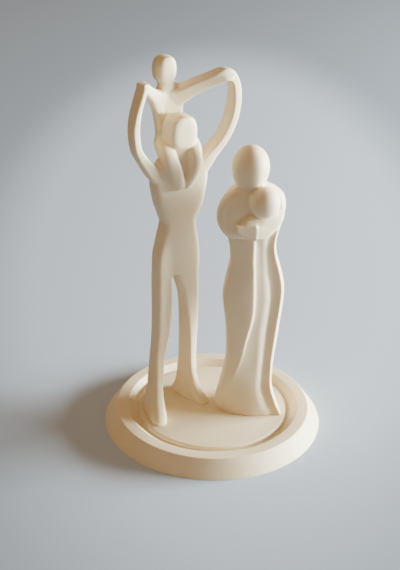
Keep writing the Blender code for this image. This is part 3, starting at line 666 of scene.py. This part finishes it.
# %% Joining the lines into sections
def line_at(line, height):
    """Across and forward of a long line at one height."""
    last = len(line) - 1
    index = 0
    while index < last - 1 and line[index + 1][0] < height:
        index += 1
    start = line[index]
    end = line[index + 1]
    share = (height - start[0]) / (end[0] - start[0])
    before = line[max(index - 1, 0)]
    after = line[min(index + 2, last)]
    return (
        smooth_between(before[1], start[1], end[1], after[1], share),
        smooth_between(before[2], start[2], end[2], after[2], share),
    )


def gown_section(height):
    """Closed outline of the gown at one height, as (across, forward)."""
    outline = []
    above_hem = min(1.0, height / HEM_FLARE_HEIGHT)
    for first, second, count, hem_swell, body_swell in GOWN_STRETCHES:
        swell = hem_swell + (body_swell - hem_swell) * above_hem
        start = line_at(GOWN_LINES[first], height)
        end = line_at(GOWN_LINES[second], height)
        run_across = end[0] - start[0]
        run_forward = end[1] - start[1]
        for step in range(count):
            share = step / count
            bow = 4 * share * (1 - share) * swell
            outline.append((
                start[0] + share * run_across - bow * run_forward,
                start[1] + share * run_forward + bow * run_across,
            ))
    return outline


def loft_gown(cage):
    """Stacks the gown's sections from the hem up."""
    rings = []
    for level in range(GOWN_LEVELS + 1):
        height = GOWN_TOP * level / GOWN_LEVELS
        ring = []
        for across, forward in gown_section(height):
            ring.append(cage.verts.new((across, -forward, height)))
        rings.append(ring)
    close_rings(cage, rings)


mother_cage = bmesh.new()
loft_gown(mother_cage)

# %% Her arms, her head and the baby
MOTHER_LEFT_ARM = [
    (-8.5, 0.6, 119.5, 4.0, 4.0, 0),
    (-12.8, 0.6, 118.0, 4.2, 3.6, 0),
    (-15.9, 0.4, 113.0, 4.1, 3.2, 0),
    (-16.2, 0.0, 107.2, 3.8, 3.2, 0),
    (-14.0, -1.2, 102.8, 3.3, 3.1, 0),
    (-10.2, -2.4, 101.6, 2.7, 2.7, 0),
    (-5.0, -2.8, 101.0, 2.4, 2.4, 0),
]
MOTHER_RIGHT_ARM = [
    (4.0, 0.6, 119.0, 3.4, 3.6, 0),
    (7.7, -0.2, 115.8, 3.1, 3.6, 0),
    (8.4, -1.8, 111.6, 3.2, 3.6, 0),
    (6.4, -4.2, 108.4, 4.2, 3.2, 0),
    (2.4, -5.6, 105.2, 4.7, 3.0, 0),
    (-1.2, -6.5, 103.6, 4.4, 2.9, 0),
    (-4.8, -7.2, 103.8, 3.7, 2.7, 0),
]
MOTHER_HAND = [
    (-3.8, -7.05, 103.9, 3.7, 3.0, 0),
    (-8.5, -6.2, 104.3, 3.3, 2.65, 0),
    (-11.1, -5.8, 104.8, 2.7, 2.4, 0),
    (-12.6, -5.8, 105.7, 1.8, 2.1, 0),
    (-13.4, -5.9, 106.6, 0.9, 1.7, 0),
]
LAP_FILL = [
    (-10.5, -4.4, 106.2, 2.6, 2.8, 0),
    (-8.0, -4.4, 106.2, 4.2, 3.6, 0),
    (-3.0, -4.5, 107.0, 4.7, 4.0, 0),
    (2.0, -4.4, 109.2, 4.0, 3.8, 0),
    (6.0, -3.6, 111.0, 3.7, 3.4, 0),
]
limb(mother_cage, MOTHER_LEFT_ARM, FRONT, squareness=2.6)
limb(mother_cage, MOTHER_RIGHT_ARM, FRONT, squareness=3.4)
limb(mother_cage, MOTHER_HAND, FRONT, squareness=8, square_to=-SIDEWAYS)
limb(mother_cage, LAP_FILL, FRONT, squareness=2.4)
# The swell of her chest beside the baby, her head, and the baby's head
egg(mother_cage, (-10.4, -1.2, 108.5), half_across=7.0, half_deep=3.7, rise=13.0, drop=9.5)
egg(
    mother_cage, (-4.5, 0.6, 133.2),
    half_across=8.9, half_deep=8.4, rise=10.4, drop=13.4, ridge=0.07, taper=0.12, ridge_place=0.16,
)
egg(mother_cage, (0.1, -7.4, 118.0), half_across=7.4, half_deep=7.4, rise=7.8, drop=7.5)
mother = cast_figure(
    "mother_and_baby_skin", mother_cage, MOTHER_PLACE, MOTHER_HEADING, MOTHER_HEIGHT / MOTHER_UNITS_TALL
)

# %% [markdown]
# ## Ivory plastic
#
# The plastic is a warm ivory that light enters and leaves again a little further on, so hollows
# glow orange and thin edges turn white. A flat colour would look like paper. The Principled
# shader's subsurface gives the glow, and two small node groups add what printing left: fine level
# steps and scattered specks.

# %% Node groups shared by the finishes
LAYER_HEIGHT = 0.0002
RISER_START = 0.25
RISER_END = 0.75
SPECK_SIZE = 0.0006
SPECK_FROM = 0.55
SPECK_FULL = 0.72
CLOUD_SCALE = 60.0


def layer_steps_group():
    """Height of the level steps that a printed surface shows, from its own height above the table."""
    group = bpy.data.node_groups.new("layer_steps", "ShaderNodeTree")
    face = group.interface
    face.new_socket("Place", in_out="INPUT", socket_type="NodeSocketVector")
    layer_height = face.new_socket("Layer Height", in_out="INPUT", socket_type="NodeSocketFloat")
    layer_height.default_value = LAYER_HEIGHT
    face.new_socket("Height", in_out="OUTPUT", socket_type="NodeSocketFloat")
    inputs = group.nodes.new("NodeGroupInput").outputs
    split = add_node(group, "ShaderNodeSeparateXYZ", {"Vector": inputs["Place"]})
    count = add_node(group, "ShaderNodeMath", {
        0: split.outputs["Z"],
        1: inputs["Layer Height"],
    }, operation="DIVIDE")
    part = add_node(group, "ShaderNodeMath", {0: count.outputs[0]}, operation="FRACT")
    step = add_node(group, "ShaderNodeMapRange", {
        "Value": part.outputs[0],
        "From Min": RISER_START,
        "From Max": RISER_END,
    }, interpolation_type="SMOOTHSTEP")
    back = add_node(group, "ShaderNodeMath", {
        0: step.outputs["Result"],
        1: part.outputs[0],
    }, operation="SUBTRACT")
    result = group.nodes.new("NodeGroupOutput")
    group.links.new(back.outputs[0], result.inputs["Height"])
    return group


def specks_group():
    """A mask of scattered specks, and a slow cloudy value."""
    group = bpy.data.node_groups.new("specks", "ShaderNodeTree")
    face = group.interface
    face.new_socket("Place", in_out="INPUT", socket_type="NodeSocketVector")
    face.new_socket("Size", in_out="INPUT", socket_type="NodeSocketFloat").default_value = SPECK_SIZE
    face.new_socket("Specks", in_out="OUTPUT", socket_type="NodeSocketFloat")
    face.new_socket("Clouds", in_out="OUTPUT", socket_type="NodeSocketFloat")
    inputs = group.nodes.new("NodeGroupInput").outputs
    per_metre = add_node(group, "ShaderNodeMath", {0: 1.0, 1: inputs["Size"]}, operation="DIVIDE")
    grain = add_node(group, "ShaderNodeTexNoise", {
        "Vector": inputs["Place"],
        "Scale": per_metre.outputs[0],
        "Detail": 2.0,
    })
    mask = add_node(group, "ShaderNodeMapRange", {
        "Value": grain.outputs["Fac"],
        "From Min": SPECK_FROM,
        "From Max": SPECK_FULL,
    })
    clouds = add_node(group, "ShaderNodeTexNoise", {
        "Vector": inputs["Place"],
        "Scale": CLOUD_SCALE,
        "Detail": 3.0,
    })
    result = group.nodes.new("NodeGroupOutput")
    group.links.new(mask.outputs["Result"], result.inputs["Specks"])
    group.links.new(clouds.outputs["Fac"], result.inputs["Clouds"])
    return group


layer_steps = layer_steps_group()
specks = specks_group()
print("shared groups:", layer_steps.name, specks.name)

# %% The ivory finish
IVORY = (0.86, 0.74, 0.545, 1.0)
IVORY_PALE = (0.89, 0.78, 0.60, 1.0)
SPECK_BROWN = (0.60, 0.47, 0.32, 1.0)
GLOSSIEST = 0.42
DULLEST = 0.58
STEP_BUMP_STRENGTH = 0.5
STEP_BUMP_HEIGHT = 0.00006
PLASTIC_IOR = 1.46
PLASTIC_SHINE = 0.35
GLOW_SHARE = 0.4
GLOW_REACH = 0.0014
GLOW_BY_COLOUR = (1.0, 0.5, 0.22)
PLINTH_SPECKS = 0.3
FIGURE_SPECKS = 0.04
# Sockets of a Mix node set to colours
MIX_A = 6
MIX_B = 7
MIX_RESULT = 2


def mix_colours(tree, factor, first, second):
    """The colour between two others that a factor picks."""
    mixed = add_node(tree, "ShaderNodeMix", {"Factor": factor, MIX_A: first, MIX_B: second}, data_type="RGBA")
    return mixed.outputs[MIX_RESULT]


def ivory_finish(name, speck_strength):
    """Ivory plastic whose colour clouds a little, with level steps and specks."""
    material = bpy.data.materials.new(name)
    material.use_nodes = True
    tree = material.node_tree
    shader = tree.nodes["Principled BSDF"]
    place = add_node(tree, "ShaderNodeTexCoord").outputs["Object"]
    marks = add_node(tree, "ShaderNodeGroup", node_tree=specks)
    tree.links.new(place, marks.inputs["Place"])
    steps = add_node(tree, "ShaderNodeGroup", node_tree=layer_steps)
    tree.links.new(place, steps.inputs["Place"])
    clouded = mix_colours(tree, marks.outputs["Clouds"], IVORY, IVORY_PALE)
    amount = add_node(tree, "ShaderNodeMath", {
        0: marks.outputs["Specks"],
        1: speck_strength,
    }, operation="MULTIPLY")
    specked = mix_colours(tree, amount.outputs[0], clouded, SPECK_BROWN)
    tree.links.new(specked, shader.inputs["Base Color"])
    gloss = add_node(tree, "ShaderNodeMapRange", {
        "Value": marks.outputs["Clouds"],
        "To Min": GLOSSIEST,
        "To Max": DULLEST,
    })
    tree.links.new(gloss.outputs["Result"], shader.inputs["Roughness"])
    bump = add_node(tree, "ShaderNodeBump", {
        "Strength": STEP_BUMP_STRENGTH,
        "Distance": STEP_BUMP_HEIGHT,
        "Height": steps.outputs["Height"],
    })
    tree.links.new(bump.outputs["Normal"], shader.inputs["Normal"])
    shader.inputs["IOR"].default_value = PLASTIC_IOR
    shader.inputs["Specular IOR Level"].default_value = PLASTIC_SHINE
    shader.inputs["Subsurface Weight"].default_value = GLOW_SHARE
    shader.inputs["Subsurface Radius"].default_value = GLOW_BY_COLOUR
    shader.inputs["Subsurface Scale"].default_value = GLOW_REACH
    return material


plinth_ivory = ivory_finish("plinth_ivory", PLINTH_SPECKS)
father_ivory = ivory_finish("father_ivory", FIGURE_SPECKS)
mother_ivory = ivory_finish("mother_ivory", FIGURE_SPECKS)

# %% Put the skins over the exact solids
plinth = turn_plinth(plinth_ivory)
plinth.data.shade_smooth()
plinth.data.set_sharp_from_angle(angle=PLINTH_SHARP_ANGLE)
father.data.materials.clear()
father.data.materials.append(father_ivory)
mother.data.materials.clear()
mother.data.materials.append(mother_ivory)
for skin, node in ((plinth, "plinth"), (father, "father_and_child"), (mother, "mother_and_baby")):
    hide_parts(node)
    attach(skin, "root")

# %% [markdown]
# ## The floor
#
# The ornament stands on a plain pale board. The board could be one flat grey, but its far parts and
# corners are dimmer than the ground round the plinth, because less light reaches them. That falloff is
# painted: an oval pool of painted light in the board's colour fades to a darker painted shade.

# %% The floor
FLOOR_HALF = 4.0
floor_mesh = bpy.data.meshes.new("floor")
floor_mesh.from_pydata(
    [(-FLOOR_HALF, -FLOOR_HALF, 0), (FLOOR_HALF, -FLOOR_HALF, 0), (FLOOR_HALF, FLOOR_HALF, 0),
     (-FLOOR_HALF, FLOOR_HALF, 0)],
    [],
    [(0, 1, 2, 3)],
)
floor = bpy.data.objects.new("floor", floor_mesh)
bpy.context.scene.collection.objects.link(floor)

# %% The board's colour, with painted light falloff
BOARD_PALE = (0.56, 0.64, 0.77, 1.0)
BOARD_GRAIN = (0.545, 0.62, 0.75, 1.0)
# Painted shade for the board's far parts and corners
BOARD_PAINTED_SHADE = (0.33, 0.38, 0.465, 1.0)
# The oval pool of painted light round the plinth
LIGHT_POOL_CENTRE = (0.0, 0.25, 0.0)
LIGHT_POOL_HALVES = (0.16, 0.40, 1.0)
LIGHT_POOL_EDGE_START = 0.70
LIGHT_POOL_EDGE_END = 1.15
BOARD_GRAIN_SCALE = 400.0
BOARD_ROUGHNESS = 0.8
BOARD_SHINE = 0.2
floor_finish = bpy.data.materials.new("pale_board")
floor_finish.use_nodes = True
floor_shader = floor_finish.node_tree.nodes["Principled BSDF"]
floor_tree = floor_finish.node_tree
floor_place = add_node(floor_tree, "ShaderNodeTexCoord").outputs["Object"]
from_light_pool = add_node(floor_tree, "ShaderNodeVectorMath", {
    0: floor_place,
    1: LIGHT_POOL_CENTRE,
}, operation="SUBTRACT")
in_light_pools = add_node(floor_tree, "ShaderNodeVectorMath", {
    0: from_light_pool.outputs[0],
    1: LIGHT_POOL_HALVES,
}, operation="DIVIDE")
light_pool_reach = add_node(floor_tree, "ShaderNodeVectorMath", {0: in_light_pools.outputs[0]}, operation="LENGTH")
# Painted shade: outside the oval pool of painted light, the board's colour fades to a darker tone that stands
# in for the light's falloff
painted_falloff = add_node(floor_tree, "ShaderNodeMapRange", {
    "Value": light_pool_reach.outputs["Value"],
    "From Min": LIGHT_POOL_EDGE_START,
    "From Max": LIGHT_POOL_EDGE_END,
}, interpolation_type="SMOOTHSTEP")
board_grain = add_node(floor_tree, "ShaderNodeTexNoise", {
    "Vector": floor_place,
    "Scale": BOARD_GRAIN_SCALE,
    "Detail": 4.0,
})
board_pale = mix_colours(floor_tree, board_grain.outputs["Fac"], BOARD_PALE, BOARD_GRAIN)
board_with_painted_light = mix_colours(floor_tree, painted_falloff.outputs["Result"], board_pale, BOARD_PAINTED_SHADE)
floor_tree.links.new(board_with_painted_light, floor_shader.inputs["Base Color"])
floor_shader.inputs["Roughness"].default_value = BOARD_ROUGHNESS
floor_shader.inputs["Specular IOR Level"].default_value = BOARD_SHINE
floor_mesh.materials.append(floor_finish)
print("floor reaches", FLOOR_HALF, "m each way")

# %% [markdown]
# ## The light
#
# Soft daylight comes low from the right and a little from behind, so the planes that face the
# camera lie half in shade. A sun lamp would give hard shadows, so one large area light stands in
# for a window, and a warm world fills the shade.

# %% The light
LIGHT_PLACE = Vector((1.26, 0.23, 0.26))
LIGHT_AIM = Vector((0.0, 0.0, 0.06))
LIGHT_WIDTH = 0.78
LIGHT_HEIGHT = 0.30
LIGHT_WATTS = 61.0
LIGHT_COLOUR = (0.90, 0.97, 0.94)
SHADE_COLOUR = (1.0, 0.73, 0.48, 1.0)
SHADE_STRENGTH = 0.31
EXPOSURE = 0.38
light_data = bpy.data.lights.new("window_light", "AREA")
light_data.shape = "RECTANGLE"
light_data.size = LIGHT_WIDTH
light_data.size_y = LIGHT_HEIGHT
light_data.energy = LIGHT_WATTS
light_data.color = LIGHT_COLOUR
light = bpy.data.objects.new("window_light", light_data)
light.location = LIGHT_PLACE
light.rotation_euler = (LIGHT_AIM - LIGHT_PLACE).to_track_quat("-Z", "Y").to_euler()
bpy.context.scene.collection.objects.link(light)
world = bpy.data.worlds.new("soft_room")
world.use_nodes = True
background = world.node_tree.nodes["Background"]
background.inputs["Color"].default_value = SHADE_COLOUR
background.inputs["Strength"].default_value = SHADE_STRENGTH
bpy.context.scene.world = world
view_settings = bpy.context.scene.view_settings
view_settings.view_transform = "AgX"
view_settings.look = "AgX - Medium High Contrast"
view_settings.exposure = EXPOSURE
print("light", round((LIGHT_PLACE - LIGHT_AIM).length, 2), "m away")

# %% [markdown]
# ## The camera
#
# The camera looks down at the ornament through a long lens. Its place and its three directions were
# fitted to the plinth's circles. The frame is taller than wide, so the lens goes with the picture's
# height.

# %% The camera
IMAGE_HEIGHT = 570
FOCAL_PIXELS = 1210.0
SENSOR = 36.0
CAMERA_PLACE = (0.0, -0.52214, 0.35110)
CAMERA_RIGHT = Vector((0.99962, 0.0226, 0.01602))
CAMERA_DOWN = Vector((0.02471, -0.46533, -0.88479))
CAMERA_FORWARD = Vector((-0.01254, 0.88485, -0.46571))
camera_data = bpy.data.cameras.new("camera")
camera_data.sensor_width = SENSOR
camera_data.lens = SENSOR * FOCAL_PIXELS / IMAGE_HEIGHT
camera_data.clip_start = 0.01
camera_data.clip_end = 20.0
camera = bpy.data.objects.new("camera", camera_data)
bpy.context.scene.collection.objects.link(camera)
turned = Matrix((CAMERA_RIGHT, -CAMERA_DOWN, -CAMERA_FORWARD)).transposed().to_4x4()
camera.matrix_world = Matrix.Translation(CAMERA_PLACE) @ turned
bpy.context.scene.camera = camera
print("lens", round(camera_data.lens, 1), "mm")
